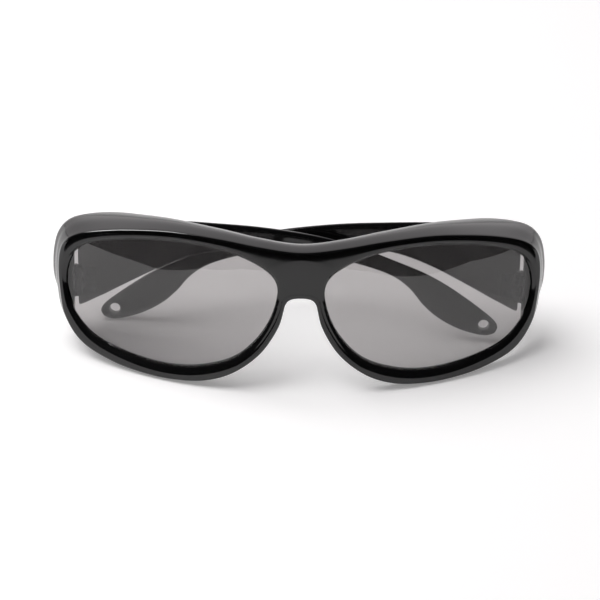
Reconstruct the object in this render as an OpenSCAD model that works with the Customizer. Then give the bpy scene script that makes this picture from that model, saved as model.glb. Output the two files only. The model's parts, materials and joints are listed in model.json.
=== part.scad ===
// Fit-over safety glasses: one moulded front with two tinted lenses, and two moulded temples
// that fold on five-barrel metal hinges. Sizes in mm.
// Lengths are set out as the glasses are worn: x across, y back from the bridge, z up from the rims.
// The finished part then leans back on its rims and one temple tip, as it stands on a table.

/* [Front] */
// Radius of the front face round an upright axis
wrap_r = 130; // [110:1:180]
// Highest point of the front above the lowest point of the rims
front_h = 47.2; // [44:0.1:52]
// Width of the rims' front face, from side to side
front_w = 146.6; // [141:0.1:153]
// Height of the front's top edge over the bridge
bridge_top = 43.2; // [41:0.1:45]
// Height of the nose arch
arch_top = 28.2; // [25:0.1:30]
// Thickness of the rims from front face to back
rim_depth = 4.2; // [4:0.1:5]
// Width of the bevel that leads in to the lens
bevel_w = 1.1; // [0.7:0.1:1.3]
// Depth of that bevel
bevel_depth = 1.0; // [0.6:0.1:1.1]

/* [Lens] */
// Distance of a lens opening from the middle plane
opening_in = 7; // [6.2:0.1:7.6]
// Width of the rim at the side of the opening
rim_side = 2.8; // [2.4:0.1:3.4]
// Height of the rim under the opening
rim_low = 4.1; // [3.7:0.1:4.6]
// Height of the front over the opening
rim_high = 3.7; // [3.4:0.1:4.4]
// Thickness of the lens
lens_t = 2.0; // [1.6:0.1:2.1]
// How far the lens reaches into its groove
lens_grip = 0.85; // [0.5:0.05:1]
// Clearance round the lens in its groove
lens_gap = 0.12; // [0.05:0.01:0.2]

/* [Brow] */
// Depth of the brow shield over the bridge, back from the front face
brow_depth = 8; // [6:0.5:11]
// Radius of the shield's back edge, which follows the forehead
brow_back_r = 75; // [65:1:95]
// Thickness of the shield
brow_t = 2.5; // [2:0.1:3]
// How far the shield's top is crowned between its front and back edges
brow_crown = 0.6; // [0.1:0.1:1]
// How far the shield's lip stands in front of the rims
lip_proud = 0.5; // [0.2:0.1:0.9]
// Height of that lip
lip_h = 0.95; // [0.7:0.05:1.1]
// Depth of the groove under the lip
groove_depth = 0.7; // [0.3:0.1:0.9]

/* [Side walls] */
// Distance from the bridge's face to the joint face where a temple meets the front
joint_y = 31; // [29:0.5:34]
// Bottom of the joint face, where the side wall sweeps forward to the rim
joint_bottom = 14.3; // [12:0.1:16]
// How far the side walls flare out from the rim to the joint face
side_flare = 0.7; // [0:0.1:1.6]
// How far the shield's upper corners flare out and up
corner_flare = 0.7; // [0:0.1:2.5]
// How far the hinge boss stands out from the side wall
boss_out = 1; // [0:0.1:1.6]
// How far the joint's flat inner face lies inside the rim's widest point
wall_in = 5; // [4:0.1:5.6]

/* [Temple] */
// How far a folded temple's tip stays short of the other hinge pin
tip_room = 6.2; // [3:0.1:14]
// Height of the temple tip's lowest point above the rims' lowest point, as worn
tip_low = 6.9; // [5:0.1:9]
// Height of the temple's top edge where it meets the front
root_top = 41.2; // [39:0.1:42]
// Height of the temple's bottom edge where it meets the front
root_bottom = 14.3; // [13.8:0.1:16]
// Thickness of the temple along its middle
arm_t = 2.5; // [2.3:0.1:3]
// Thickness of the temple at its tip
tip_t = 2.2; // [2:0.1:2.8]
// How far the tip curves in towards the head
tip_curve = 3.2; // [1:0.1:4]
// Radius of the cord hole
cord_r = 1.65; // [1:0.05:2]
// Distance from the temple's tip back to the middle of the cord hole
cord_from_tip = 4.3; // [4.2:0.1:6]
// Height of the cord hole's middle above the temple tip's lowest point
cord_up = 3.5; // [3.4:0.1:4.4]
// Gap between the temple's butt and the joint face when worn
butt_gap = 0.3; // [0.2:0.05:0.6]

/* [Hinges] */
// Distance of the hinge pin from the joint's inner face
pin_off = 0.8; // [0.7:0.05:1]
// Height of the hinge's middle above the rims
hinge_z = 22.3; // [21.5:0.1:26]
// Height of the five barrels together
hinge_h = 9; // [8.6:0.1:10]
// Outer radius of a barrel
barrel_r = 1.5; // [1.4:0.05:1.7]
// Gap between neighbouring barrels
barrel_gap = 0.12; // [0.08:0.01:0.2]
// Radius of the screw's shank
screw_r = 0.7; // [0.5:0.05:0.8]
// Running clearance of the shank in the barrels
screw_fit = 0.05; // [0.02:0.01:0.08]
// Radius of the screw's head
head_r = 1.25; // [1.1:0.05:1.35]
// Height of the screw's head
head_h = 0.8; // [0.6:0.1:1]
// Width of the slot across the screw's head
slot_w = 0.35; // [0.25:0.05:0.5]
// Thickness of a hinge leaf
leaf_t = 0.9; // [0.7:0.1:1]
// Length of a leaf from the pin
leaf_l = 5.5; // [5.2:0.1:5.7]
// Height of a leaf's plate
leaf_h = 8.2; // [7.6:0.1:8.6]
// Clearance round a leaf in its pocket
leaf_gap = 0.08; // [0.04:0.01:0.15]
// Clearance between the barrels and the plastic round them
barrel_room = 0.35; // [0.3:0.05:0.5]
// Radius of a rivet's shank
rivet_r = 0.6; // [0.4:0.05:0.7]
// Clearance of a rivet in its leaf
rivet_fit = 0.05; // [0.02:0.01:0.1]
// Radius of a rivet's head
rivet_head_r = 0.95; // [0.85:0.05:1.1]
// Height of a rivet's head
rivet_head_h = 0.3; // [0.2:0.05:0.4]
// How deep a rivet reaches into the plastic behind its leaf
rivet_l = 1.6; // [1.2:0.1:2]
// Distance of a leaf's two rivets from the pin
rivet_at = 3.7; // [3.2:0.1:4]
// Distance between those two rivets
rivet_gap = 4.6; // [3:0.1:5.4]

/* [Folded pose] */
// Angle of the left temple from its worn position; it lies next to the lenses
fold_left = 90; // [89:0.5:92]
// Angle of the right temple from its worn position; it lies behind the left one
fold_right = 85.5; // [84:0.5:87.5]

/* [Hidden] */
plastic = [0.05, 0.05, 0.055];
tint = [0.35, 0.34, 0.34, 0.55];
steel = [0.2, 0.2, 0.21];
half_w = front_w / 2;
inner_x = half_w - wall_in;
opening_x = [opening_in, half_w - rim_side];
opening_z = [rim_low, front_h - rim_high];
eps = 0.01;

// Smooth curve through a list of points: a Catmull-Rom spline, with p0 and p3 the neighbours.
function knot(a, b, c, d, t) =
    0.5 * (2 * b + (c - a) * t + (2 * a - 5 * b + 4 * c - d) * t * t + (3 * b - a - 3 * c + d) * t * t * t);
function curve(pts, steps, before, after) = [
    for (i = [0 : len(pts) - 2], j = [0 : steps - 1])
        knot(i == 0 ? before : pts[i - 1], pts[i], pts[i + 1], i == len(pts) - 2 ? after : pts[i + 2], j / steps),
    pts[len(pts) - 1]
];
function ring(pts, steps) = [
    for (i = [0 : len(pts) - 1], j = [0 : steps - 1])
        knot(pts[(i + len(pts) - 1) % len(pts)], pts[i], pts[(i + 1) % len(pts)], pts[(i + 2) % len(pts)], j / steps)
];
function ease(t) = let (c = min(1, max(0, t))) c * c * (3 - 2 * c);
function mix(a, b, t) = a + (b - a) * t;
function cross2(a, b) = a.x * b.y - a.y * b.x;

// Lens opening, right half of the front, as seen from in front: a flat-topped rounded D.
// Each point is a share of the opening's width and height.
opening_shape = [
    [0, 0.69], [0.041, 0.4], [0.163, 0.15], [0.323, 0.033], [0.507, 0], [0.721, 0.053],
    [0.887, 0.165], [0.986, 0.39], [1, 0.63], [0.935, 0.835], [0.777, 0.944], [0.523, 1],
    [0.269, 0.972], [0.079, 0.855]
];
opening = ring([
    for (p = opening_shape)
        [mix(opening_x[0], opening_x[1], p.x), mix(opening_z[0], opening_z[1], p.y)]
], 6);
lens_mid = [(opening_x[0] + opening_x[1]) / 2, opening_z[0] + 0.53 * (opening_z[1] - opening_z[0])];

// Outer outline of the right half, from the top of the bridge round the side to the nose arch.
sx = half_w / 72.9;
sz = front_h / 47.2;
outline = curve([
    [0, bridge_top], [12 * sx, mix(bridge_top, front_h, 0.33)], [24 * sx, mix(bridge_top, front_h, 0.77)],
    [38 * sx, front_h], [50 * sx, 46.2 * sz], [60 * sx, 44.2 * sz], [67.6 * sx, 41.3 * sz], [71.5 * sx, 37.2 * sz],
    [half_w, 30.5 * sz], [72.5 * sx, 22 * sz], [70.9 * sx, 14 * sz], [65.6 * sx, 6.8 * sz], [56 * sx, 2.6 * sz],
    [46 * sx, 0.6 * sz], [37 * sx, 0], [28 * sx, 0.8 * sz], [19.6 * sx, 4 * sz], [11.5 * sx, 10.6 * sz],
    [6.3 * sx, mix(0, arch_top, 0.68)], [4.7 * sx, arch_top - 2.6 * sz], [3 * sx, arch_top - 0.45 * sz],
    [0, arch_top]
], 5, [-12 * sx, mix(bridge_top, front_h, 0.33)], [-3 * sx, arch_top - 0.45 * sz]);

// Where a ray from the lens's middle crosses a line of points: [point, direction of the line there].
function crossing(pts, a, closed) = let (
    dir = [cos(a), sin(a)],
    n = len(pts),
    hits = [
        for (i = [0 : n - (closed ? 1 : 2)])
            let (p = pts[i], e = pts[(i + 1) % n] - p, q = p - lens_mid, bottom = cross2(dir, e))
            if (abs(bottom) > 1e-9)
                let (s = cross2(q, e) / bottom, t = cross2(q, dir) / bottom)
                if (s > 0 && t >= -1e-9 && t <= 1 + 1e-9) [lens_mid + s * dir, e / norm(e)]
    ]
) hits[0];

// Stations round a lens, each pairing a point of the opening with one of the outline. The first few
// face the bridge, where the two halves of the front join, and the next few follow the nose arch.
bridge_steps = 6;
arch_steps = 12;
ring_steps = 66;
a_top = atan2(bridge_top - lens_mid.y, -lens_mid.x);
a_arch = atan2(arch_top - lens_mid.y, -lens_mid.x) + (arch_top < lens_mid.y ? 360 : 0);
arch_end = outline[len(outline) - 1 - arch_steps];
a_end = atan2(arch_end.y - lens_mid.y, arch_end.x - lens_mid.x) + 360;
angles = [
    for (i = [0 : bridge_steps - 1]) mix(a_top, a_arch, i / bridge_steps),
    for (i = [0 : arch_steps - 1]) mix(a_arch, a_end, i / arch_steps),
    for (i = [0 : ring_steps - 1]) mix(a_end, a_top + 360, i / ring_steps)
];
stations = len(angles);
function at_top(i) = i == 0;
function at_arch(i) = i == bridge_steps;
function in_bridge(i) = i > 0 && i < bridge_steps;
function on_arch(i) = i > bridge_steps && i < bridge_steps + arch_steps;

// A station: [point of the opening, point of the outline, inward normal there].
function turn_in(e) = [e.y, -e.x] / norm(e);
function station(i) = let (
    in = crossing(opening, angles[i], true)[0],
    k = len(outline) - 1 - (i - bridge_steps),
    hit = crossing(outline, angles[i], false)
) in_bridge(i) ? [in, [0, in.y + (in.y - lens_mid.y) * in.x / (lens_mid.x - in.x)], [0, 0]]
    : at_top(i) ? [in, [0, bridge_top], [0, -1]]
    : at_arch(i) ? [in, [0, arch_top], [0, 1]]
    : on_arch(i) ? [in, outline[k], turn_in(outline[k + 1] - outline[k - 1])]
    : [in, hit[0], turn_in(hit[1])];

// The front's faces lie on upright cylinders round one axis: y at depth e behind the front face.
function face_y(x, e) = wrap_r - sqrt((wrap_r - e) * (wrap_r - e) - x * x);
function on_face(q, e) = [q.x, face_y(q.x, e), q.y];

// How deep the outer wall runs at an outline point: 0 where there is only the rim, 1 at the shield and sides.
function wall_share(w) =
    w.x > half_w * 0.6 ? ease((w.y - 3.5 * sz) / (joint_bottom - 3.5 * sz)) : w.y > arch_top + 1 ? 1 : 0;
function wall_back(x) = min(joint_y, brow_depth + x * x / (2 * brow_back_r));
// How far the back edge of the wall stands outside the outline: most at the shield's upper corners.
function flare(w) =
    side_flare * ease((w.x - half_w * 0.8) / (half_w * 0.12)) * wall_share(w)
    + corner_flare * ease((w.x - half_w * 0.8) / (half_w * 0.16)) * ease((w.y - front_h * 0.66) / (front_h * 0.16));
// How far a station belongs to the boss outside the hinge.
function boss_share(w) = w.x < half_w * 0.8 ? 0 : ease((w.y / sz - 18) / 7) * ease((40 - w.y / sz) / 6);
// How far a station belongs to the flat-sided hinge end of the front.
function hinge_share(w) = w.x < half_w * 0.8 ? 0 : ease((w.y / sz - 8) / 5) * ease((44 - w.y / sz) / 7);
// How far a station belongs to the grooved brow.
function brow_share(w) = w.y < front_h * 0.72 ? 0 : ease((w.y / front_h - 0.72) / 0.127);

seat = [bevel_depth + 0.3, bevel_depth + 0.3 + lens_t + 2 * lens_gap];
groove_w = lens_grip + lens_gap;

// One station's cross-section, as a closed loop of points from the lens's edge out, back and in again.
function section(i) = let (
    at = station(i),
    in = at[0],
    w = at[1],
    n = at[2],
    u = (w - in) / norm(w - in),
    boss = boss_out * boss_share(w),
    ws = w - n * flare(w),
    wb = ws - n * boss,
    room = min(1, (norm(w - in) - bevel_w - 0.5) / 1.9),
    k = wall_share(w),
    hinge = hinge_share(w),
    brow = brow_share(w),
    wall = mix(1.6 * room, brow_t, k),
    crown = brow_crown * k,
    wa = mix(w, ws, 0.5) - n * crown,
    wc = mix(w, ws, 0.8) - n * (boss + 0.6 * crown),
    q = mix(wb + wall * n, [inner_x, wb.y], hinge),
    back = in_bridge(i) ? face_y(0, rim_depth) : mix(face_y(w.x, rim_depth), wall_back(w.x), k),
    front_end = mix(mix(face_y(q.x, rim_depth), back, in_bridge(i) ? 1 : 0.3 * k), face_y(q.x, rim_depth + 0.5), hinge),
    foot = i <= bridge_steps ? [0, in_bridge(i) ? w.y : q.y + 0.3 * n.y] : in + mix(0.85 * groove_w, 0.45, hinge) * u
) [
    on_face(in, bevel_depth),
    on_face(in + bevel_w * u, 0.2),
    on_face(in + (bevel_w + 0.3) * u, 0),
    on_face(w + 1.8 * room * n, 0),
    on_face(w + mix(1.6, lip_h + 0.35, brow) * room * n, groove_depth * brow),
    on_face(w + mix(1.3, lip_h, brow) * room * n, -lip_proud * brow),
    on_face(w + 0.25 * n, mix(0.1, -lip_proud, brow)),
    on_face(w, mix(0.8, 0.3, brow)),
    [wa.x, mix(face_y(w.x, 0.8), back - 0.45, 0.5), wa.y],
    [wc.x, mix(face_y(w.x, 0.8), back - 0.45, 0.8), wc.y],
    [wb.x, back - 0.45, wb.y],
    [wb.x + 0.45 * n.x, back, wb.y + 0.45 * n.y],
    [mix(q.x, wb.x, 0.12), back, mix(q.y, wb.y, 0.12)],
    [q.x, back - 0.45 * (1 - hinge), q.y],
    [q.x, front_end, q.y],
    on_face(foot, rim_depth),
    on_face(in + 0.3 * u, rim_depth),
    on_face(in, rim_depth - 0.3),
    on_face(in, seat[1]),
    on_face(in + groove_w * u, seat[1]),
    on_face(in + groove_w * u, seat[0]),
    on_face(in, seat[0])
];
sections = [for (i = [0 : stations - 1]) section(i)];

// Edge of the lens, the clearance short of the bottom of its groove.
function lens_edge(i) = let (at = station(i)) at[0] + lens_grip * (at[1] - at[0]) / norm(at[1] - at[0]);
rails = len(sections[0]);
first_inner = 3;
last_inner = 15;

// The front as one closed skin: the right half's loops joined up, and their mirror images.
// Where the halves meet, on the middle plane, there is no wall between them.
module front_skin() {
    right = [for (s = sections, p = s) p];
    left = [for (p = right) [-p.x, p.y, p.z]];
    quads = [
        for (i = [0 : stations - 1], j = [0 : rails - 1])
            if (!(i < bridge_steps && j >= first_inner && j < last_inner))
                let (i2 = (i + 1) % stations, j2 = (j + 1) % rails)
                [i * rails + j, i2 * rails + j, i2 * rails + j2, i * rails + j2]
    ];
    shift = len(right);
    faces = [
        for (q = quads) [q[0], q[1], q[2]],
        for (q = quads) [q[0], q[2], q[3]],
        for (q = quads) [q[2] + shift, q[1] + shift, q[0] + shift],
        for (q = quads) [q[3] + shift, q[2] + shift, q[0] + shift]
    ];
    polyhedron(points = concat(right, left), faces = faces, convexity = 8);
}

// The hinge's place and its pin, in plan, at the right-hand joint.
pin = [inner_x - pin_off, joint_y + butt_gap / 2];
relief_r = barrel_r + barrel_room;
barrel_h = (hinge_h - 4 * barrel_gap) / 5;
function barrel_z(i) = hinge_z - hinge_h / 2 + i * (barrel_h + barrel_gap);

// Temple edges in side view: distance behind the hinge pin, and height. The two lists pair up as ribs.
temple_l = 2 * pin.x - tip_room;
sl = temple_l / 129.6;
sh = root_top / 41.2;
function lowered(p) = [p.x * sl, p.y * sh + (tip_low - 6.3 * sh) * ease((p.x - 70) / 50)];
butt = butt_gap / 2;
top_pts = [
    [butt, root_top], for (p = [
        [10, 41.4], [19, 41.5], [29, 41.3], [41, 40.7], [57, 39.5], [75, 36.8], [88, 33], [98, 29.2],
        [106.5, 25.7], [113.5, 21.9], [120, 17.6], [125.5, 13.6], [128.7, 10.9], [129.6, 9]
    ]) lowered(p)
];
bottom_pts = [
    [butt, root_bottom], for (p = [
        [6, 17.1], [15, 21.7], [27, 27.6], [39, 31.9], [54, 33.1], [71, 31.9], [84, 29.1], [95.5, 25.4],
        [102, 20.9], [106.2, 15.8], [111.2, 11.4], [118, 7.9], [125.3, 6.3], [128.9, 7.4]
    ]) lowered(p)
];
top_edge = curve(top_pts, 3, [-10 * sl, 39 * sh], [temple_l, 8 * sh]);
bottom_edge = curve(bottom_pts, 3, [-6 * sl, 12 * sh], [130 * sl, 8.6 * sh]);
ribs = len(top_edge);

// Half-width of the joint face at a height, so that the temple's root meets it flush.
joint_rim = [for (i = [bridge_steps + arch_steps : stations - 1]) let (p = sections[i][10]) [p.x, p.z]];
function side_x(z) = let (
    hit = [
        for (i = [0 : len(joint_rim) - 2])
            let (a = joint_rim[i], b = joint_rim[i + 1])
            if (a.x > half_w * 0.6 && a.y <= z && b.y > z) mix(a.x, b.x, (z - a.y) / (b.y - a.y))
    ]
) hit[0];

// One rib of the temple as a closed loop round the section: outer face upwards, inner face back down.
outer_v = [0, 0.05, 0.15, 0.3, 0.5, 0.7, 0.85, 0.95, 1];
outer_t = [0.5, 0.74, 0.9, 0.98, 1, 0.98, 0.9, 0.74, 0.5];
inner_v = [0.97, 0.5, 0.03];
function rib(i) = let (
    b = bottom_edge[i],
    t = top_edge[i],
    s = (b.x + t.x) / 2,
    thick = mix(arm_t, tip_t, ease((s - 95 * sl) / (25 * sl))),
    bend = s < 75 * sl ? 0 : tip_curve * pow((s - 75 * sl) / (temple_l - 75 * sl), 2),
    inside = inner_x - bend
) [
    for (j = [0 : len(outer_v) - 1])
        let (p = mix(b, t, outer_v[j]), root_x = side_x(mix(root_bottom, root_top, outer_v[j])))
        [mix(root_x, inside + thick * outer_t[j], ease(s / (27 * sl))), pin.y + p.x, p.y],
    for (v = inner_v)
        let (p = mix(b, t, v))
        [inside, pin.y + p.x, p.y]
];
rib_loops = [for (i = [0 : ribs - 1]) rib(i)];

// Right temple as a closed skin over its ribs, worn position.
module temple_skin() {
    m = len(rib_loops[0]);
    points = [for (r = rib_loops, p = r) p];
    quads = [
        for (i = [0 : ribs - 2], j = [0 : m - 1])
            let (j2 = (j + 1) % m)
            [i * m + j, i * m + j2, (i + 1) * m + j2, (i + 1) * m + j]
    ];
    hub = m - 2;
    faces = [
        for (q = quads) [q[0], q[1], q[2]],
        for (q = quads) [q[0], q[2], q[3]],
        for (j = [0 : m - 1])
            if (j != hub && j + 1 != hub) [hub, (j + 1) % m, j],
        for (j = [0 : m - 1])
            if (j != hub && j + 1 != hub) [hub, j, (j + 1) % m] + (ribs - 1) * m * [1, 1, 1]
    ];
    polyhedron(points = points, faces = faces, convexity = 6);
}

// Where a point of the right temple comes to lie when folded; side -1 mirrors it to the left temple.
function folded(p, angle, side) = let (a = p.x - pin.x, b = p.y - pin.y)
    [side * (pin.x + a * cos(angle) - b * sin(angle)), pin.y + a * sin(angle) + b * cos(angle), p.z];
front_pts = [for (s = sections, p = s) p];
left_pts = [for (r = rib_loops, p = r) folded(p, fold_left, -1)];
right_pts = [for (r = rib_loops, p = r) folded(p, fold_right, 1)];

// How the folded glasses stand: leaning back on both rims and the right temple's tip.
rim_foot = [for (p = front_pts) if (p.z < 6 * sz) p];
tip_foot = [for (p = right_pts) if (p.z < tip_low + 8) p];
lean = atan(max([for (r = rim_foot) min([for (t = tip_foot) (t.z - r.z) / (t.y - r.y)])]));
function leant(p) = [p.x, p.y * cos(lean) + p.z * sin(lean), p.z * cos(lean) - p.y * sin(lean)];
all_pts = [for (p = concat(front_pts, left_pts, right_pts)) leant(p)];
mid_y = (min([for (p = all_pts) p.y]) + max([for (p = all_pts) p.y])) / 2;
lift = -min([for (p = all_pts) p.z]);

module stand() {
    translate([0, -mid_y, lift]) rotate([-lean, 0, 0]) children();
}

module fold(angle) {
    translate([pin.x, pin.y, 0]) rotate([0, 0, angle]) translate([-pin.x, -pin.y, 0]) children();
}

// Plate and lugs of a leaf, grown by g, on the side of the pin given by dir: -1 front, 1 temple.
module leaf_plate(dir, g) {
    from = dir < 0 ? -leaf_l - g : relief_r - g;
    translate([inner_x - (g > 0 ? 0.5 : 0), pin.y + from, hinge_z - leaf_h / 2 - g])
        cube([leaf_t + g + (g > 0 ? 0.5 : 0), leaf_l - relief_r + 2 * g, leaf_h + 2 * g]);
}

module lug(dir, i) {
    from = dir < 0 ? -relief_r - eps : 0;
    translate([pin.x, pin.y + from, barrel_z(i)])
        cube([pin_off + leaf_t, relief_r + eps, barrel_h]);
    translate([pin.x, pin.y, barrel_z(i)])
        cylinder(r = barrel_r, h = barrel_h, $fn = 48);
}

module rivet_holes(dir, r, x0, x1) {
    for (up = [-1, 1])
        translate([inner_x + x0, pin.y + dir * rivet_at, hinge_z + up * rivet_gap / 2])
            rotate([0, 90, 0])
                cylinder(r = r, h = x1 - x0, $fn = 32);
}

// What the plastic gives up for a hinge: the leaf's pocket, its rivet holes and room for the barrels.
module hinge_room(dir) {
    leaf_plate(dir, leaf_gap);
    rivet_holes(dir, rivet_r, 0, leaf_t + rivet_l);
    translate([pin.x, pin.y, hinge_z - hinge_h / 2 - barrel_room])
        cylinder(r = relief_r, h = hinge_h + head_h + 2 * barrel_room, $fn = 64);
    translate([inner_x - 0.5, pin.y + (dir < 0 ? -relief_r - leaf_gap : 0), hinge_z - hinge_h / 2 - leaf_gap])
        cube([0.5 + leaf_t + leaf_gap, relief_r + leaf_gap, hinge_h + 2 * leaf_gap]);
}

// Leaf with its barrels: the front's leaf has the first, third and fifth, the temple's has the others.
module hinge_leaf(dir) {
    first = dir < 0 ? 0 : 1;
    difference() {
        union() {
            leaf_plate(dir, 0);
            for (i = [first : 2 : 4 - first]) lug(dir, i);
        }
        translate([pin.x, pin.y, barrel_z(first == 0 ? 1 : 0)])
            cylinder(r = screw_r + screw_fit, h = hinge_h, $fn = 32);
        translate([pin.x, pin.y, hinge_z - hinge_h])
            cylinder(r = screw_r, h = 2 * hinge_h, $fn = 32);
        rivet_holes(dir, rivet_r + rivet_fit, -0.5, leaf_t + 0.5);
    }
}

module hinge_screw() {
    top = hinge_z + hinge_h / 2;
    difference() {
        translate([pin.x, pin.y, 0])
            rotate_extrude($fn = 48)
                polygon([
                    [0, top - hinge_h], [screw_r - 0.15, top - hinge_h], [screw_r, top - hinge_h + 0.15],
                    [screw_r, top], [head_r, top], [head_r, top + head_h - 0.25],
                    [head_r - 0.25, top + head_h], [0, top + head_h]
                ]);
        translate([pin.x - slot_w / 2, pin.y - head_r - 1, top + head_h / 2])
            cube([slot_w, 2 * head_r + 2, head_h]);
    }
}

module leaf_rivets(dir) {
    for (up = [-1, 1])
        translate([inner_x, pin.y + dir * rivet_at, hinge_z + up * rivet_gap / 2])
            rotate([0, 90, 0])
                rotate_extrude($fn = 48)
                    polygon([
                        [0, -rivet_head_h], [0.55 * rivet_head_r, -rivet_head_h],
                        [rivet_head_r, -0.35 * rivet_head_h], [rivet_head_r, 0], [rivet_r, 0],
                        [rivet_r, leaf_t + rivet_l], [0, leaf_t + rivet_l]
                    ]);
}

module lens() {
    outline_l = [for (i = [0 : stations - 1]) lens_edge(i)];
    intersection() {
        translate([0, wrap_r, 0]) difference() {
            translate([0, 0, -5])
                cylinder(r = wrap_r - seat[0] - lens_gap, h = front_h + 10, $fn = 180);
            translate([0, 0, -6])
                cylinder(r = wrap_r - seat[1] + lens_gap, h = front_h + 12, $fn = 180);
        }
        translate([0, wrap_r / 2, 0]) rotate([90, 0, 0])
            linear_extrude(height = wrap_r)
                polygon(outline_l);
    }
}

module temple() {
    difference() {
        temple_skin();
        hinge_room(1);
        translate([inner_x - tip_curve - 5, pin.y + temple_l - cord_from_tip, tip_low + cord_up])
            rotate([0, 90, 0])
                cylinder(r = cord_r, h = 15, $fn = 48);
    }
}

module front_frame() {
    color(plastic) stand() difference() {
        front_skin();
        hinge_room(-1);
        mirror([1, 0, 0]) hinge_room(-1);
    }
}

module lens_left() {
    color(tint) stand() mirror([1, 0, 0]) lens();
}

module lens_right() {
    color(tint) stand() lens();
}

module temple_left() {
    color(plastic) stand() mirror([1, 0, 0]) fold(fold_left) temple();
}

module temple_right() {
    color(plastic) stand() fold(fold_right) temple();
}

module front_hinge_leaf_left() {
    color(steel) stand() mirror([1, 0, 0]) hinge_leaf(-1);
}

module front_hinge_leaf_right() {
    color(steel) stand() hinge_leaf(-1);
}

module temple_hinge_leaf_left() {
    color(steel) stand() mirror([1, 0, 0]) fold(fold_left) hinge_leaf(1);
}

module temple_hinge_leaf_right() {
    color(steel) stand() fold(fold_right) hinge_leaf(1);
}

module hinge_screw_left() {
    color(steel) stand() mirror([1, 0, 0]) hinge_screw();
}

module hinge_screw_right() {
    color(steel) stand() hinge_screw();
}

module front_leaf_rivets_left() {
    color(steel) stand() mirror([1, 0, 0]) leaf_rivets(-1);
}

module front_leaf_rivets_right() {
    color(steel) stand() leaf_rivets(-1);
}

module temple_leaf_rivets_left() {
    color(steel) stand() mirror([1, 0, 0]) fold(fold_left) leaf_rivets(1);
}

module temple_leaf_rivets_right() {
    color(steel) stand() fold(fold_right) leaf_rivets(1);
}

front_frame();
lens_left();
lens_right();
temple_left();
temple_right();
front_hinge_leaf_left();
front_hinge_leaf_right();
temple_hinge_leaf_left();
temple_hinge_leaf_right();
hinge_screw_left();
hinge_screw_right();
front_leaf_rivets_left();
front_leaf_rivets_right();
temple_leaf_rivets_left();
temple_leaf_rivets_right();
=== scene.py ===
import json
import math

import bmesh
import bpy
import numpy as np
from mathutils import Matrix, Vector


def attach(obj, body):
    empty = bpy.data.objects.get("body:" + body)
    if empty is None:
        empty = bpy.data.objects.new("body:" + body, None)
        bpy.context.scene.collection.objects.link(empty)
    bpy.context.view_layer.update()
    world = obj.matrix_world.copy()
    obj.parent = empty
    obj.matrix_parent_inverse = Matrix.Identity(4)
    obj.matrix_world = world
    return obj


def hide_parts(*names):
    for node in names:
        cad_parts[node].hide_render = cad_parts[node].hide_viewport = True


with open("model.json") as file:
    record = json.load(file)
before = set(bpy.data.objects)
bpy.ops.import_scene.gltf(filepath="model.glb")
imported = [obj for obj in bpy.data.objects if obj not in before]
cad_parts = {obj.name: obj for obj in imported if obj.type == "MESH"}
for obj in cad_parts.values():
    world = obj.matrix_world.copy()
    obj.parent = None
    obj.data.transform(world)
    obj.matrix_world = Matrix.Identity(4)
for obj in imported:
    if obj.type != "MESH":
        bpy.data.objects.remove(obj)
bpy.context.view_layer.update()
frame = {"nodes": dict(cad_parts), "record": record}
scene = bpy.context.scene
scene.view_settings.view_transform = "Standard"


# Front moulding
# One piece of injection-moulded black gloss plastic: rims, bridge, brow shield and side walls in one
# wrapped skin. It is set out as worn, in millimetres, with x across, y back from the bridge and z up
# from the rims, and then leant back as the frame's own hinges lean.
half_w = 73.3  # half the width over the rims
front_h = 47.2  # height from the rims' lowest point to the brow's highest
wrap_r = 130.0  # radius of the upright cylinder that the face is bent round
bridge_top = 43.2  # height of the brow over the nose
arch_top = 28.2  # height of the arch over the nose
rim_depth = 4.2  # front to back at the rims
rim_t = 1.6  # thickness of the skin at the rims
rim_full = 3.5  # width from which a rim has its edges in full; a narrower rim's shrink
rim_back_round = 0.3  # rounding of a rim's back edge at the opening
bevel_depth = 1.0  # from the face to the edge of a lens opening
bevel_land = 0.3  # between that edge and the lens's groove
opening_x = (7.0, 70.5)  # a lens opening from the nose outwards
opening_z = (4.1, 43.5)  # and from its bottom to its top
lens_t = 2.0
lens_grip = 0.85  # how far a lens reaches into its groove
lens_gap = 0.12  # clearance round the lens
brow_depth = 8.0  # how far the brow shield reaches back over the nose
brow_back_r = 75.0  # radius of the shield's back edge, seen from above
brow_t = 2.5  # thickness of the shield and the side walls
brow_crown = 0.6  # how far they bulge
brow_heights = (0.72 * front_h, 0.72 * front_h + 6)  # where the rim turns into the brow
lip_proud = 0.5  # how far the lip along the brow's edge stands out
lip_h = 0.8  # height of that lip
groove_depth = 0.7  # depth of the groove under it
side_from = 0.6  # share of half_w at which the side begins
wall_from = 3.5  # height where the side wall starts out of the rim
joint_bottom = 14.3  # height of the wall's full depth, where the joint face begins
joint_y = 31.0  # how far back the joint face lies
wall_blend = 12.0  # length over which the wall's back edge turns into the joint face
wall_stops = (0.3, 0.55, 0.8, 0.94)  # shares of its depth at which the wall is set out
side_flare = 0.7  # how far the side walls lean outwards
corner_lift = 2.5  # how far the brow's outer corner is raised
corner_heights = (32, 41)  # the lift grows between these
boss_out = 1.1  # how far the wall swells out over a hinge
boss_heights = (18, 25, 35, 43)  # where the swelling starts, is full, wanes and ends
hinge_from = 0.8  # share of half_w at which the hinge's flat inside begins
hinge_heights = (8, 13, 37, 44)  # where that flat starts, is full, wanes and ends
inner_x = 68.3  # place of the flat, from the middle
roll_steep = (0.8, 1.3)  # width of a rim's steep roll into its opening, at the top and the bottom
roll_shallow = (1.15, 2.0)  # width to where that roll runs out into the face
face_in = 1.5  # from the outline to the end of the even face
edge_in = 1.3  # and to the start of the rim's own edge
edge_tip = 0.25  # and to the middle of that edge's rounding
edge_roll = 0.8  # how far back the rounding ends and the wall starts
boss_grows = (0.45, 0.95)  # shares of the wall's depth over which the boss grows
end_round = 0.45  # rounding of the walls' back edges
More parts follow.
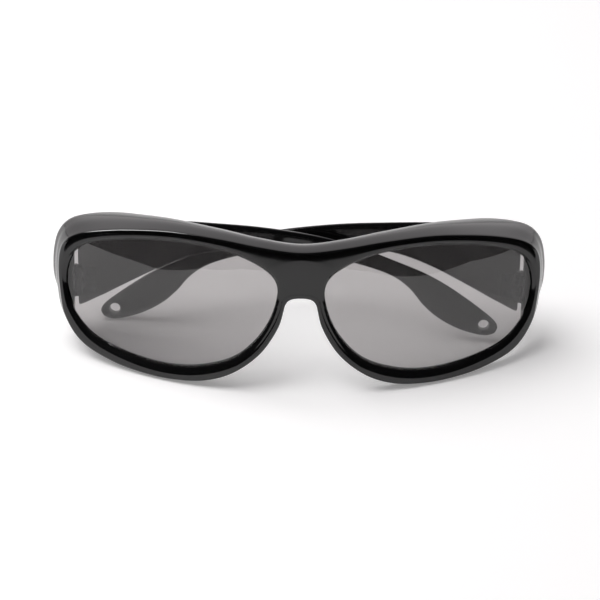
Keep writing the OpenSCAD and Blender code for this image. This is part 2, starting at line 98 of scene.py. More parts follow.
arch_set_back = 0.8  # how far the face falls back towards the arch over the nose
arch_reach = (4, 20)  # from the middle, where that setting back wanes and ends
butt_gap = 0.3  # gap in an open joint
pin_off = 0.8  # from the flat inside to the hinge's screw
hinge_z = 22.3  # height of the hinge's middle
pin = (inner_x - pin_off, joint_y + butt_gap / 2)

hinges = {j["name"]: j for j in frame["record"]["behaviour"]["joints"]}
hinge_axis = hinges["left_fold"]["axis"]
hinge_spot = [1000 * v for v in hinges["left_fold"]["pos_m"]]
lean = math.atan2(hinge_axis[1], hinge_axis[2])
shift_y = hinge_spot[1] - (pin[1] * math.cos(lean) + hinge_z * math.sin(lean))
shift_z = hinge_spot[2] - (hinge_z * math.cos(lean) - pin[1] * math.sin(lean))
stand = (
    Matrix.Scale(0.001, 4)
    @ Matrix.Translation((0, shift_y, shift_z))
    @ Matrix.Rotation(-lean, 4, "X")
)


def ease(t):
    t = min(1.0, max(0.0, t))
    return t * t * (3 - 2 * t)


def mix(a, b, t):
    return a + (b - a) * t


def rising(value, low, high):
    """0 up to low and 1 from high on, with a soft step between them."""
    return ease((value - low) / (high - low))


def falling(value, low, high):
    return ease((high - value) / (high - low))


def swelling(value, start, full, wane, end):
    return rising(value, start, full) * falling(value, wane, end)


def smooth_min(a, b, width):
    """The lesser of two values, rounded over where they cross."""
    t = min(1, max(0, 0.5 + (a - b) / width))
    return mix(a, b, t) - width / 2 * t * (1 - t)


def curve(points, steps, before, after):
    """Smooth line through the points; before and after are the neighbours past its two ends."""
    p = [np.array(v, float) for v in (before, *points, after)]
    line = []
    for i in range(1, len(p) - 2):
        a, b, c, d = p[i - 1 : i + 3]
        square = 2 * a - 5 * b + 4 * c - d
        cube = 3 * b - a - 3 * c + d
        for t in np.arange(steps) / steps:
            line.append(0.5 * (2 * b + (c - a) * t + square * t**2 + cube * t**3))
    return line + [p[-2]]


def crossing(line, start, angle):
    """Where a ray from start first crosses a line of points, and the line's direction there."""
    ray = np.array((math.cos(angle), math.sin(angle)))
    for a, b in zip(line, line[1:]):
        e = b - a
        q = a - start
        below = ray[0] * e[1] - ray[1] * e[0]
        if abs(below) > 1e-9:
            s = (q[0] * e[1] - q[1] * e[0]) / below
            t = (q[0] * ray[1] - q[1] * ray[0]) / below
            if s > 0 and -1e-9 <= t <= 1 + 1e-9:
                return start + s * ray, e / np.linalg.norm(e)
    raise ValueError("no crossing")


# The lens opening, as shares of its width and height, round from its nose side by the bottom.
opening_shape = (
    (0, 0.69), (0.041, 0.4), (0.163, 0.15), (0.323, 0.033), (0.507, 0), (0.721, 0.053),
    (0.887, 0.165), (0.986, 0.39), (1, 0.63), (0.935, 0.835), (0.777, 0.944), (0.523, 1),
    (0.269, 0.972), (0.079, 0.855),
)
opening = [np.array((mix(*opening_x, u), mix(*opening_z, v))) for u, v in opening_shape]
opening = curve(opening + opening[:1], 10, opening[-1], opening[1])
lens_mid = np.array((sum(opening_x) / 2, mix(*opening_z, 0.53)))

# One half of the front's outline, from the brow's middle round the side and back to the arch. It
# was set out on a half width of drawn_half_w.
drawn_half_w = 72.9
outline_points = [
    (0, bridge_top), (12, mix(bridge_top, front_h, 0.33)), (24, mix(bridge_top, front_h, 0.77)),
    (38, front_h), (50, 46.2), (60, 44.2), (67.6, 41.3), (71.5, 37.2), (drawn_half_w, 30.5), (72.5, 22),
    (70.9, 14), (65.6, 6.8), (56, 2.6), (46, 0.6), (37, 0), (28, 0.8), (19.6, 4), (11.5, 10.6),
    (6.3, arch_top * 0.68), (4.7, arch_top - 2.6), (3, arch_top - 0.45), (0, arch_top),
]
outline_points = [(half_w / drawn_half_w * x, z) for x, z in outline_points]
across_brow = (-outline_points[1][0], outline_points[1][1])
across_arch = (-outline_points[-2][0], outline_points[-2][1])
outline = curve(outline_points, 8, across_brow, across_arch)


def face_y(x, depth):
    """Front-to-back place of the upright cylinder that lies depth behind the front face."""
    return wrap_r - math.sqrt((wrap_r - depth) ** 2 - x * x)


def on_face(p, depth):
    return (p[0], face_y(p[0], depth), p[1])


def wall_share(edge):
    """How much of the full wall stands behind a place on the outline, from none to all."""
    if edge[0] > half_w * side_from:
        return rising(edge[1], wall_from, joint_bottom)
    return 1.0 if edge[1] > arch_top + 1 else 0.0


bridge_stations = 8
arch_stations = 16
ring_stations = 74


def angle_of(p):
    return math.atan2(p[1] - lens_mid[1], p[0] - lens_mid[0]) % (2 * math.pi)


def stations():
    """Pairs of a place on the lens opening and one on the outline, with the inward normal there.

    Inside the bridge the second place lies in the middle plane, and it has no normal.
    """
    top = angle_of((0, bridge_top))
    low = angle_of((0, arch_top))
    arch_end = angle_of(outline[-1 - arch_stations])
    found = []
    for i in range(bridge_stations):
        eye = crossing(opening, lens_mid, mix(top, low, i / bridge_stations))[0]
        z = eye[1] + (eye[1] - lens_mid[1]) * eye[0] / (lens_mid[0] - eye[0])
        if i == 0:
            found.append((eye, np.array((0, bridge_top)), np.array((0, -1)), "bridge"))
        else:
            found.append((eye, np.array((0, z)), np.array((0, 0)), "bridge"))
    for i in range(arch_stations):
        eye = crossing(opening, lens_mid, mix(low, arch_end, i / arch_stations))[0]
        k = len(outline) - 1 - i
        if i == 0:
            found.append((eye, np.array((0, arch_top)), np.array((0, 1)), "arch"))
        else:
            along = outline[k + 1] - outline[k - 1]
            inward = np.array((along[1], -along[0])) / np.linalg.norm(along)
            found.append((eye, outline[k], inward, "rim"))
    for i in range(ring_stations):
        angle = mix(arch_end, top + 2 * math.pi, i / ring_stations)
        eye = crossing(opening, lens_mid, angle)[0]
        edge, along = crossing(outline, lens_mid, angle)
        found.append((eye, edge, np.array((along[1], -along[0])), "rim"))
    return found


groove_w = lens_grip + lens_gap
seat_front = bevel_depth + bevel_land
seat_back = seat_front + lens_t + 2 * lens_gap


def held(a, b):
    """A point just past a on the way to b, which keeps the smoothed skin flat between the two."""
    far = np.linalg.norm(b - a)
    return mix(a, b, min(0.5, 0.8 / far) if far else 0.5)


def front_loop(index, station):
    """One station's cross-section, from the lens's edge out to the wall, back and in again.

    eye is its place on the lens opening and edge its place on the outline.
    """
    eye, edge, inward, part = station
    in_bridge = part == "bridge" and index > 0
    span = np.linalg.norm(edge - eye)
    out = (edge - eye) / span
    walled = wall_share(edge)

    # The wall's outside: from edge, leant is leant out and lifted, and swollen has the boss too.
    at_side = edge[0] > half_w * hinge_from
    boss = boss_out * swelling(edge[1], *boss_heights) if at_side else 0
    hinge = swelling(edge[1], *hinge_heights) if at_side else 0
    sideways = min(1, max(0, edge[0] / half_w - side_from) / (1 - side_from)) ** 3
    lift = np.array((0, sideways * corner_lift * rising(edge[1], *corner_heights)))
    leant = edge - inward * sideways * side_flare * walled + lift
    swollen = leant - inward * boss

    # Its inside is a skin's thickness further in, and flat where a hinge leaf lies.
    room = min(1, (span - rim_t) / (rim_full - rim_t))
    flat = np.array((inner_x, swollen[1]))
    inside = mix(swollen + mix(rim_t * room, brow_t, walled) * inward, flat, hinge)

    # How far back the wall and its inside reach.
    rim_back = face_y(edge[0], rim_depth)
    wall_back = smooth_min(brow_depth + edge[0] ** 2 / (2 * brow_back_r), joint_y, wall_blend)
    back = face_y(0, rim_depth) if in_bridge else mix(rim_back, wall_back, walled)
    front_end = mix(face_y(inside[0], rim_depth), back, 1 if in_bridge else 0.3 * walled)
    front_end = mix(front_end, face_y(inside[0], rim_depth + 0.5), hinge)
    if part == "rim":
        foot = eye + mix(0.85 * groove_w, 0.45, hinge) * out
    else:
        foot = np.array((0, edge[1] if in_bridge else inside[1] + 0.3 * inward[1]))
    wall = []
    for t in wall_stops:
        bulge = boss * rising(t, *boss_grows) + brow_crown * walled * 4 * t * (1 - t)
        x, z = mix(edge, leant, t) - inward * bulge
        wall.append((x, mix(face_y(edge[0], edge_roll), back - end_round, t), z))

    # The face rolls into the opening and carries the lip where it is brow. The roll is wider at the
    # bottom: low is 1 where a station points straight down, and less towards the nose.
    brow = rising(edge[1], *brow_heights)
    low = ease(0.35 - 0.95 * out[1] - 0.4 * max(0, -out[0]))
    inner_roll = min(mix(*roll_steep, low), 0.3 * span)
    outer_roll = min(mix(*roll_shallow, low), 0.48 * span)
    drop = arch_set_back * falling(edge[0], *arch_reach) * falling(edge[1], arch_top, bridge_top)
    groove_at = mix(rim_t, lip_h + 0.3, brow) * room
    lip_at = mix(edge_in, lip_h, brow) * room

    back_out = np.array((swollen[0] + end_round * inward[0], back, swollen[1] + end_round * inward[1]))
    back_in = np.array((mix(inside[0], swollen[0], 0.12), back, mix(inside[1], swollen[1], 0.12)))
    inside_back = np.array((inside[0], back - end_round * (1 - hinge), inside[1]))
    inside_front = np.array((inside[0], front_end, inside[1]))
    loop = [
        on_face(eye, bevel_depth),
        on_face(eye + inner_roll * out, mix(0.3, 0.38, low) + 0.5 * drop),
        on_face(eye + outer_roll * out, 0.05 + drop),
        on_face(edge + face_in * room * inward, drop),
        on_face(edge + groove_at * inward, groove_depth * brow + drop),
        on_face(edge + lip_at * inward, -lip_proud * brow + drop),
        on_face(edge + edge_tip * inward, mix(0.1, -0.55 * lip_proud, brow) + drop),
        on_face(edge, mix(edge_roll, 0.5 * edge_roll, brow) + drop),
        *wall,
        (swollen[0], back - end_round, swollen[1]),
        back_out,
        held(back_out, back_in),
        back_in,
        inside_back,
        held(inside_back, inside_front),
        inside_front,
        on_face(foot, rim_depth),
        on_face(eye + rim_back_round * out, rim_depth),
        on_face(eye, rim_depth - rim_back_round),
        on_face(eye, seat_back),
        on_face(eye + groove_w * out, seat_back),
        on_face(eye + groove_w * out, seat_front),
        on_face(eye, seat_front),
    ]
    return [np.array(v) for v in loop]


# Rails of that cross-section, by their place in its list.
bevel_rail = 0
face_rail = 3
groove_rail = 4
lip_rail = 5
joint_rail = 12
inside_rail = 16
foot_rail = 19
lens_seat_rails = (22, 23, 24, 25)
rail_creases = {
    bevel_rail: 0.7,
    groove_rail: 0.6,
    lip_rail: 0.5,
    inside_rail: 0.5,
    **dict.fromkeys(lens_seat_rails, 1),
}


def in_middle(i, j):
    """True for the bridge's faces that would lie in the middle plane, between the two halves."""
    return i < bridge_stations and face_rail <= j < foot_rail


def loft(loops, creases, skip=None, closed=True):
    """Quads between neighbouring loops, with a crease value along each named rail."""
    bm = bmesh.new()
    crease = bm.edges.layers.float.new("crease_edge")
    grid = [[bm.verts.new(p) for p in loop] for loop in loops]
    count = len(grid)
    rails = len(grid[0])
    spans = count if closed else count - 1
    for i in range(spans):
        for j in range(rails):
            if skip and skip(i, j):
                continue
            i2 = (i + 1) % count
            j2 = (j + 1) % rails
            bm.faces.new((grid[i][j], grid[i][j2], grid[i2][j2], grid[i2][j]))
    for i in range(spans):
        for j, value in creases.items():
            edge = bm.edges.get((grid[i][j], grid[(i + 1) % count][j]))
            if edge:
                edge[crease] = value
    return bm, grid


def placed(name, bm, turn):
    """Makes an object of bm, moved by turn into the row's frame, its faces outwards."""
    bmesh.ops.transform(bm, matrix=turn, verts=bm.verts)
    if turn.determinant() < 0:
        bmesh.ops.reverse_faces(bm, faces=bm.faces)
    mesh = bpy.data.meshes.new(name)
    bm.to_mesh(mesh)
    bm.free()
    obj = bpy.data.objects.new(name, mesh)
    scene.collection.objects.link(obj)
    return obj


def brick(low, high):
    bm = bmesh.new()
    bmesh.ops.create_cube(bm, size=1)
    middle = [(a + b) / 2 for a, b in zip(low, high)]
    size = [b - a for a, b in zip(low, high)]
    stretch = Matrix.Translation(middle) @ Matrix.Diagonal((*size, 1))
    bmesh.ops.transform(bm, matrix=stretch, verts=bm.verts)
    return bm


def rod(middle, axis, radius, length):
    bm = bmesh.new()
    ends = {"radius1": radius, "radius2": radius, "depth": length}
    bmesh.ops.create_cone(bm, cap_ends=True, segments=64, **ends)
    turn = Vector((0, 0, 1)).rotation_difference(Vector(axis)).to_matrix().to_4x4()
    bmesh.ops.transform(bm, matrix=Matrix.Translation(middle) @ turn, verts=bm.verts)
    return bm


def shaded(mesh):
    """Shades a mesh smooth, and sharp where two faces meet at more than 40 degrees."""
    for poly in mesh.polygons:
        poly.use_smooth = True
    mesh.set_sharp_from_angle(angle=math.radians(40))


cage_reach = 0.35  # share of its shortest edge that a point of the cage may move, so as not to fold


def fit_cage(obj):
    """Moves the cage's points until the smoothed skin passes through the places set out for them."""
    wanted = np.array([v.co for v in obj.data.vertices])
    room = np.full(len(wanted), np.inf)
    for edge in obj.data.edges:
        length = np.linalg.norm(wanted[edge.vertices[0]] - wanted[edge.vertices[1]])
        for v in edge.vertices:
            room[v] = min(room[v], cage_reach * length)
    cage = wanted.copy()
    for _ in range(3):
        view = obj.evaluated_get(bpy.context.evaluated_depsgraph_get())
        smoothed = view.to_mesh()
        cage += wanted - np.array([smoothed.vertices[i].co for i in range(len(wanted))])
        view.to_mesh_clear()
        moved = cage - wanted
        far = np.maximum(np.linalg.norm(moved, axis=1), 1e-9)
        cage = wanted + moved * np.minimum(1, room / far)[:, None]
        obj.data.vertices.foreach_set("co", cage.ravel())
        obj.data.update()
        bpy.context.view_layer.update()


def carved(obj, cutters):
    """The object smoothed, then with the cutters taken out of it, as one plain mesh."""
    sub = obj.modifiers.new("smooth", "SUBSURF")
    sub.levels = sub.render_levels = 2
    fit_cage(obj)
    for cutter in cutters:
        cut = obj.modifiers.new("cut", "BOOLEAN")
        cut.operation = "DIFFERENCE"
        cut.solver = "EXACT"
        cut.object = cutter
    bpy.context.view_layer.update()
    view = obj.evaluated_get(bpy.context.evaluated_depsgraph_get())
    shape = bpy.data.meshes.new_from_object(view)
    obj.modifiers.clear()
    obj.data = shape
    for cutter in cutters:
        bpy.data.objects.remove(cutter)
    shaded(shape)


barrel_r = 1.5
barrel_room = 0.35  # left round the barrels and past their ends
hinge_h = 9.0  # height of the five barrels together
head_h = 0.8  # height of the screw's head over them
leaf_t = 0.9
leaf_l = 5.5
leaf_h = 8.2
leaf_gap = 0.08  # clearance of a leaf in its pocket
relief_r = barrel_r + barrel_room
cut_past = 0.5  # how far a cutter stands out of the face that it cuts


def pocket(near, far, height):
    """A cutter in the flat beside the hinge, between two distances from its screw."""
    near_y, far_y = sorted((near, far))
    half = height / 2 + leaf_gap
    return brick(
        (inner_x - cut_past, pin[1] + near_y, hinge_z - half),
        (inner_x + leaf_t + leaf_gap, pin[1] + far_y, hinge_z + half),
    )


def hinge_cutters(side, turn):
    """What the plastic gives up for a hinge: the leaf's pocket and room for the barrels."""
    leaf = pocket(side * (relief_r - leaf_gap), side * (leaf_l + leaf_gap), leaf_h)
    lugs = pocket(0, side * (relief_r + leaf_gap), hinge_h)
    length = hinge_h + head_h + 2 * barrel_room
    middle = (*pin, hinge_z - hinge_h / 2 - barrel_room + length / 2)
    barrels = rod(middle, (0, 0, 1), relief_r, length)
    return [placed("cutter", bm, turn) for bm in (leaf, lugs, barrels)]


mirror = Matrix.Scale(-1, 4, Vector((1, 0, 0)))
front_side = -1  # a hinge's leaf reaches forward from its screw in the front
rim_stations = stations()
front_loops = [front_loop(i, s) for i, s in enumerate(rim_stations)]
bm, _ = loft(front_loops, rail_creases, in_middle)
twin = bm.copy()
bmesh.ops.transform(twin, matrix=mirror, verts=twin.verts)
bmesh.ops.reverse_faces(twin, faces=twin.faces)
other_half = bpy.data.meshes.new("other_half")
twin.to_mesh(other_half)
twin.free()
bm.from_mesh(other_half)
bpy.data.meshes.remove(other_half)
bmesh.ops.remove_doubles(bm, verts=bm.verts, dist=1e-4)
bmesh.ops.recalc_face_normals(bm, faces=bm.faces)
front = placed("front_moulding", bm, stand)
carved(front, hinge_cutters(front_side, stand) + hinge_cutters(front_side, stand @ mirror))


def material_of(name):
    material = bpy.data.materials.new(name)
    material.use_nodes = True
    tree = material.node_tree
    return material, tree, tree.nodes["Principled BSDF"]


def noise(tree, scale, detail, stretch=(1, 1, 1)):
    """Noise in the object's own metres; along an axis with a small stretch it is drawn out."""
    place = tree.nodes.new("ShaderNodeTexCoord")
    mapping = tree.nodes.new("ShaderNodeMapping")
    mapping.inputs["Scale"].default_value = stretch
    texture = tree.nodes.new("ShaderNodeTexNoise")
    texture.inputs["Scale"].default_value = scale
    texture.inputs["Detail"].default_value = detail
    tree.links.new(place.outputs["Object"], mapping.inputs["Vector"])
    tree.links.new(mapping.outputs["Vector"], texture.inputs["Vector"])
    return texture.outputs["Fac"]


def between(tree, value, low, high, out_low, out_high):
    """Takes a value from low..high to out_low..out_high, softly at both ends."""
    node = tree.nodes.new("ShaderNodeMapRange")
    node.interpolation_type = "SMOOTHSTEP"
    numbers = {"From Min": low, "From Max": high, "To Min": out_low, "To Max": out_high}
    for socket, number in numbers.items():
        node.inputs[socket].default_value = number
    tree.links.new(value, node.inputs["Value"])
    return node.outputs["Result"]


def two_tone(tree, value, first, second, start=0.0, end=1.0):
    """A colour that goes from first to second as the value goes from start to end."""
    ramp = tree.nodes.new("ShaderNodeValToRGB")
    for element, position, colour in zip(ramp.color_ramp.elements, (start, end), (first, second)):
        element.position = position
        element.color = (*colour, 1)
    tree.links.new(value, ramp.inputs["Fac"])
    return ramp.outputs["Color"]


def math_node(tree, operation, a, b):
    node = tree.nodes.new("ShaderNodeMath")
    node.operation = operation
    for socket, value in zip(node.inputs, (a, b)):
        if isinstance(value, (int, float)):
            socket.default_value = value
        else:
            tree.links.new(value, socket)
    return node.outputs[0]


# Polished black plastic: deep black, handled, with a faint orange peel and hairline rubs.
plastic, tree, shader = material_of("polished_black_plastic")
black = two_tone(tree, noise(tree, 60, 3), (0.0028, 0.0028, 0.003), (0.006, 0.006, 0.0064))
handled = between(tree, noise(tree, 45, 4), 0.35, 0.7, 0.09, 0.15)
rubs = between(tree, noise(tree, 500, 2, (0.06, 1, 1)), 0.64, 0.8, 0.0, 0.05)
peel = tree.nodes.new("ShaderNodeBump")
peel.inputs["Strength"].default_value = 0.02
peel.inputs["Distance"].default_value = 0.0001
tree.links.new(noise(tree, 220, 1), peel.inputs["Height"])
tree.links.new(black, shader.inputs["Base Color"])
tree.links.new(math_node(tree, "ADD", handled, rubs), shader.inputs["Roughness"])
tree.links.new(peel.outputs["Normal"], shader.inputs["Normal"])
shader.inputs["IOR"].default_value = 1.54
shader.inputs["Specular IOR Level"].default_value = 0.5
front.data.materials.append(plastic)
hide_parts("front_frame")
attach(front, "front")


# Lenses
# Two slices of a tinted polycarbonate sheet bent round the same upright axis as the front, 2 mm
# thick, snapped into the groove behind the rims' bevels.
lens_rings = 14


def lens_mesh():
    outer = []
    for eye, edge, _, _ in rim_stations:
        outer.append(eye + lens_grip * (edge - eye) / np.linalg.norm(edge - eye))
    count = len(outer)
    bm = bmesh.new()
    rims = []
    for depth in (seat_front + lens_gap, seat_back - lens_gap):
        hub = bm.verts.new(on_face(lens_mid, depth))
        grid = []
        for r in range(1, lens_rings + 1):
            ring = [on_face(mix(lens_mid, p, r / lens_rings), depth) for p in outer]
            grid.append([bm.verts.new(p) for p in ring])
        for i in range(count):
            i2 = (i + 1) % count
            bm.faces.new((hub, grid[0][i], grid[0][i2]))
            for a, b in zip(grid, grid[1:]):
                bm.faces.new((a[i], b[i], b[i2], a[i2]))
        rims.append(grid[-1])
    for i in range(count):
        i2 = (i + 1) % count
        bm.faces.new((rims[0][i], rims[0][i2], rims[1][i2], rims[1][i]))
    bmesh.ops.recalc_face_normals(bm, faces=bm.faces)
    return bm


# Smoke-grey tint, clear right through, with the faintest haze of wiping.
tinted, tree, shader = material_of("smoke_tinted_lens")
haze = between(tree, noise(tree, 70, 4, (1, 1, 2.5)), 0.45, 0.75, 0.0, 0.01)
tree.links.new(haze, shader.inputs["Roughness"])
shader.inputs["Base Color"].default_value = (0.43, 0.415, 0.415, 1)
shader.inputs["Transmission Weight"].default_value = 1
shader.inputs["IOR"].default_value = 1.586
for side, turn in (("left", stand @ mirror), ("right", stand)):
    lens = placed(f"lens_{side}_tinted", lens_mesh(), turn)
    shaded(lens.data)
    lens.data.materials.append(tinted)
    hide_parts(f"lens_{side}")
    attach(lens, "front")


# Temples
# Black gloss mouldings, thick and deep at the root where they butt against the side walls, thin
# along the middle, and ending in a flat paddle that is drilled for a cord. They are folded.
temple_l = 128.8  # from the joint to the tip
root_top = 41.2
root_bottom = 14.3
root_drop = 1.3  # how far the root's lower edge hangs under that
root_l = 27  # length over which the root blends into the arm
arm_t = 2.5
tip_t = 2.2
thinning = (95, 120)  # where the arm thins to the tip
tip_low = 6.9  # height of the paddle's lowest point
tip_curve = 3.2  # how far the tip bends in
bend_from = 75  # where that bend begins
cord_r = 1.65  # radius of the cord hole
cord_from_tip = 4.3  # from the tip to its middle
cord_up = 3.5  # and from the paddle's lowest point
dimple_r = 1.2  # radius of the ball that makes the dimple
dimple_off = 0.55  # from the flat inside to the ball's middle
dimple_at = (11.4, 27.7)  # the dimple's distance behind the hinge's screw, and its height
fold_angle = {"left": 90.0, "right": 85.5}

# The edges were set out on a length of drawn_l, with the paddle's lowest point at drawn_low.
drawn_l = 129.6
drawn_low = 6.3
lowering = (70, 120)  # along it, where the arm starts and ends to be brought to tip_low
long = temple_l / drawn_l


def fitted(points):
    """The set-out points on the temple's true length, its paddle brought to tip_low."""
    return [(long * x, z + (tip_low - drawn_low) * rising(x, *lowering)) for x, z in points]


top_edge = [(butt_gap / 2, root_top)] + fitted([
    (10, 41.4), (19, 41.5), (29, 41.3), (41, 40.7), (57, 39.5), (75, 36.8), (88, 33), (98, 29.2),
    (106.5, 25.7), (113.5, 21.9), (120, 17.6), (125.5, 13.6), (128.7, 10.9), (drawn_l, 9),
])
top_edge = curve(top_edge, 3, (-10 * long, 39), (temple_l, 8))
bottom_edge = [(butt_gap / 2, root_bottom - root_drop)] + fitted([
    (6, 16), (15, 21.1), (27, 27.3), (39, 31.4), (54, 32.8), (71, 31.8), (84, 29.1), (95.5, 25.4),
    (102, 20.9), (106.2, 15.8), (111.2, 11.4), (118, 7.9), (125.3, 6.3), (128.9, 7.4),
])
bottom_edge = curve(bottom_edge, 3, (-6 * long, 12), (130 * long, 8.6))
joint_rim = [
    (loop[joint_rail][0], loop[joint_rail][2])
    for loop, station in zip(front_loops, rim_stations)
    if station[3] == "rim"
]


def side_x(z):
    """Half-width of the joint face at a height, so that the temple's root meets it flush."""
    for a, b in zip(joint_rim, joint_rim[1:]):
        if a[0] > half_w * side_from and a[1] <= z < b[1]:
            return mix(a[0], b[0], (z - a[1]) / (b[1] - a[1]))


# Shares of the height, and how much of the full thickness the crowned outer side has there.
outer_crown = (
    (0, 0.5), (0.05, 0.74), (0.15, 0.9), (0.3, 0.98), (0.5, 1),
    (0.7, 0.98), (0.85, 0.9), (0.95, 0.74), (1, 0.5),
)


def rib(b, t):
    """One upright cross-section of the temple, between its bottom and its top edge."""
    along = (b[0] + t[0]) / 2
    thick = mix(arm_t, tip_t, rising(along / long, *thinning))
    bend = max(0, (along - bend_from * long) / (temple_l - bend_from * long)) ** 2
    inside = inner_x - tip_curve * bend
    past_root = ease(along / (root_l * long))
    loop = []
    for v, share in outer_crown:
        p = mix(b, t, v)
        at_root = side_x(mix(root_bottom, root_top, v))
        x = mix(at_root, inside + thick * share, past_root)
        loop.append((x, pin[1] + p[0], p[1]))
    for v in (0.97, 0.5, 0.03):
        p = mix(b, t, v)
        loop.append((inside, pin[1] + p[0], p[1]))
    return loop


def temple_mesh():
    ribs = [rib(b, t) for b, t in zip(bottom_edge, top_edge)]
    edge_creases = {0: 0.2, len(outer_crown) - 1: 0.2}
    bm, grid = loft(ribs, edge_creases, closed=False)
    crease = bm.edges.layers.float["crease_edge"]
    root = bm.faces.new(grid[0])
    for edge in root.edges:
        edge[crease] = 0.85
    bm.faces.new(grid[-1])
    bmesh.ops.recalc_face_normals(bm, faces=bm.faces)
    return bm


def temple_cutters(turn):
    """The cord hole through the paddle and the dimple behind the hinge."""
    hole = rod((inner_x, pin[1] + temple_l - cord_from_tip, tip_low + cord_up), (1, 0, 0), cord_r, 20)
    dimple = bmesh.new()
    bmesh.ops.create_uvsphere(dimple, u_segments=24, v_segments=16, radius=dimple_r)
    middle = (inner_x - dimple_off, pin[1] + dimple_at[0], dimple_at[1])
    bmesh.ops.translate(dimple, vec=middle, verts=dimple.verts)
    return [placed("cutter", bm, turn) for bm in (hole, dimple)]


temple_side = 1  # a hinge's leaf reaches back from its screw in a temple
for side, half in (("left", stand @ mirror), ("right", stand)):
    turn = (
        half
        @ Matrix.Translation((*pin, 0))
        @ Matrix.Rotation(math.radians(fold_angle[side]), 4, "Z")
        @ Matrix.Translation((-pin[0], -pin[1], 0))
    )
    temple = placed(f"temple_{side}_moulding", temple_mesh(), turn)
    carved(temple, hinge_cutters(temple_side, turn) + temple_cutters(turn))
    temple.data.materials.append(plastic)
    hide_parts(f"temple_{side}")
    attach(temple, f"temple_{side}")


# Hinges
# Five-barrel hinges of stamped steel, blacked: a riveted leaf let into the front, another into the
# temple, and a slotted screw down through the barrels. Their shapes are the frame's own.
# The names of the rivets hold the word leaf too.
steel, tree, shader = material_of("blacked_steel")
worn = two_tone(tree, noise(tree, 700, 4), (0.018, 0.018, 0.02), (0.07, 0.068, 0.066), 0.42, 0.72)
tree.links.new(worn, shader.inputs["Base Color"])
tree.links.new(between(tree, noise(tree, 1500, 3), 0.3, 0.7, 0.3, 0.45), shader.inputs["Roughness"])
shader.inputs["Metallic"].default_value = 0.9
for name, obj in frame["nodes"].items():
    if "leaf" in name or "screw" in name:
        for slot in obj.material_slots:
            slot.material = steel


# Table, light and camera
# A white table top under a white backdrop, lit softly from above and from the left. The room
# behind the camera is dark. The table towards it is lit like the rest but painted dark in what the
# lenses and the plastic mirror: a painted dark reflection.
table_reach = 6000
table_edge = [
    (-table_reach, 30), (-230, 20), (-205, -40), (-196, -88), (-184, -129), (-165, -166),
    (-144, -239), (-98, -303), (-23, -345), (70, -343), (118, -280), (142, -219), (158, -183),
    (189, -125), (199, -64), (210, 0), (240, 60), (table_reach, 70),
]
table_parts = {
    "table_lit": [(-table_reach, table_reach), *table_edge, (table_reach, table_reach)],
    "table_painted_dark_in_mirrors": [(table_reach, -table_reach), *reversed(table_edge), (-table_reach, -table_reach)],
}
camera_glow = 0.22  # brings the table to the photograph's white, for the camera alone
mirrored_glow = 0.18  # the same in what the plastic and the lenses mirror
# Glow of the painted dark reflection that the table towards the camera shows in mirrors.
painted_dark_reflection_glow = 0.003
for name, corners in table_parts.items():
    bm = bmesh.new()
    bm.faces.new([bm.verts.new((x / 1000, y / 1000, 0)) for x, y in corners])
    part = placed(name, bm, Matrix.Identity(4))
    white, tree, shader = material_of(name)
    shader.inputs["Base Color"].default_value = (0.93, 0.92, 0.922, 1)
    shader.inputs["Roughness"].default_value = 0.9
    shader.inputs["Specular IOR Level"].default_value = 0.1
    shader.inputs["Emission Color"].default_value = (1, 0.995, 0.995, 1)
    ray = tree.nodes.new("ShaderNodeLightPath").outputs
    seen = math_node(tree, "MULTIPLY", ray["Is Camera Ray"], camera_glow)
    mirrored = math_node(tree, "MULTIPLY", ray["Is Glossy Ray"], mirrored_glow)
    tree.links.new(math_node(tree, "ADD", seen, mirrored), shader.inputs["Emission Strength"])
    # In reflections this part of the table shows a painted dark reflection, a near-black glow, instead
    # of the lit table.
    if name == "table_painted_dark_in_mirrors":
        painted_dark_reflection = tree.nodes.new("ShaderNodeEmission")
        painted_dark_reflection.inputs["Strength"].default_value = painted_dark_reflection_glow
        swap = tree.nodes.new("ShaderNodeMixShader")
        in_mirror = math_node(tree, "SUBTRACT", ray["Is Glossy Ray"], ray["Is Transmission Ray"])
        tree.links.new(in_mirror, swap.inputs[0])
        tree.links.new(shader.outputs[0], swap.inputs[1])
        tree.links.new(painted_dark_reflection.outputs[0], swap.inputs[2])
        tree.links.new(swap.outputs[0], tree.nodes["Material Output"].inputs["Surface"])
    part.data.materials.append(white)

# The studio: white for the camera, faint as a light, and in mirrors dark in front, white behind.
studio = bpy.data.worlds.new("studio")
scene.world = studio
studio.use_nodes = True
tree = studio.node_tree
background = tree.nodes["Background"]
ray = tree.nodes.new("ShaderNodeLightPath").outputs
direction = tree.nodes.new("ShaderNodeTexCoord")
split = tree.nodes.new("ShaderNodeSeparateXYZ")
tree.links.new(direction.outputs["Generated"], split.inputs[0])
behind = between(tree, split.outputs["Y"], 0.2, 0.5, 0.003, 0.9)
seen = ray["Is Camera Ray"]
bent = math_node(tree, "MAXIMUM", ray["Is Glossy Ray"], ray["Is Transmission Ray"])
others = math_node(tree, "SUBTRACT", 1.0, math_node(tree, "MAXIMUM", seen, bent))
mirrored = math_node(tree, "MULTIPLY", bent, behind)
strength = math_node(tree, "ADD", mirrored, math_node(tree, "MULTIPLY", others, 0.2))
tree.links.new(math_node(tree, "MAXIMUM", seen, strength), background.inputs["Strength"])
colour = tree.nodes.new("ShaderNodeMix")
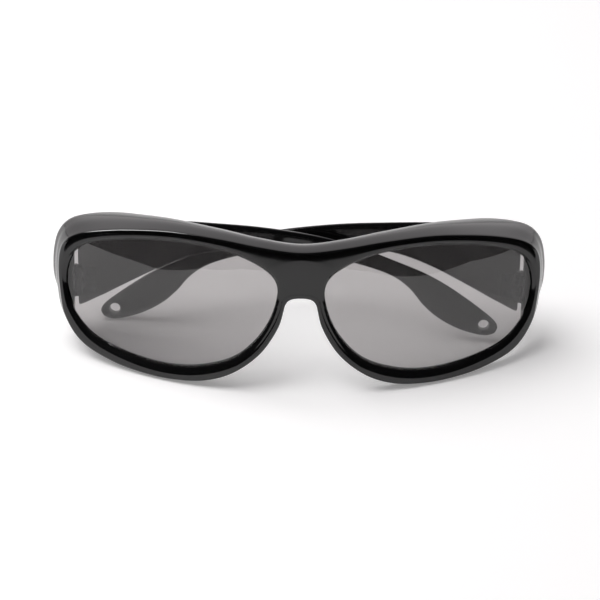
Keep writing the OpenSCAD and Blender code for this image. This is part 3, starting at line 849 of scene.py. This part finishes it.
colour.data_type = "RGBA"
colour.inputs["A"].default_value = (1, 0.965, 0.98, 1)
colour.inputs["B"].default_value = (1, 1, 1, 1)
tree.links.new(seen, colour.inputs["Factor"])
tree.links.new(colour.outputs["Result"], background.inputs["Color"])


def softbox(name, place, aim, size, power):
    light = bpy.data.lights.new(name, "AREA")
    light.shape = "RECTANGLE"
    light.size, light.size_y = size
    light.energy = power
    obj = bpy.data.objects.new(name, light)
    obj.location = place
    obj.rotation_euler = (Vector(aim) - Vector(place)).to_track_quat("-Z", "Y").to_euler()
    scene.collection.objects.link(obj)
    return obj


# The overhead box gives the light and its soft shade, the side one only the sheen on the plastic.
overhead = softbox("overhead", (-0.5, 0.14, 1.1), (0, 0, 0), (1.05, 1.05), 14.2)
overhead.visible_glossy = False
side_sheen = softbox("side", (-0.85, 0.08, 0.95), (-0.4, 0.08, 0), (0.55, 1.05), 29)
side_sheen.visible_diffuse = False

# The camera stands nearly straight before the lenses and looks down on them. Its place is set out
# in the front's own millimetres, and its lens is given in pixels of the photograph's frame.
turn_aside = math.radians(-1.4216)
look_down = math.radians(20.5232)
roll = math.radians(1.3858)
away = 700
aside = -0.3199
upwards = 26.5758
focal_px = 2342.8
frame_px = 600
film_w = 36
ahead = Vector((
    -math.sin(turn_aside) * math.cos(look_down),
    math.cos(turn_aside) * math.cos(look_down),
    -math.sin(look_down),
))
right = Vector((math.cos(turn_aside), math.sin(turn_aside), 0))
up = right.cross(ahead)
across = right * math.cos(roll) + up * math.sin(roll)
upright = up * math.cos(roll) - right * math.sin(roll)
pose = Matrix((across, upright, -ahead)).transposed().to_4x4()
pose.translation = -away * ahead + aside * right + upwards * up
placing = stand @ pose
camera = bpy.data.objects.new("camera", bpy.data.cameras.new("camera"))
scene.collection.objects.link(camera)
camera.matrix_world = Matrix.LocRotScale(placing.translation, placing.to_quaternion(), None)
camera.data.lens = focal_px / frame_px * film_w
camera.data.sensor_width = film_w
camera.data.clip_end = 20
scene.camera = camera
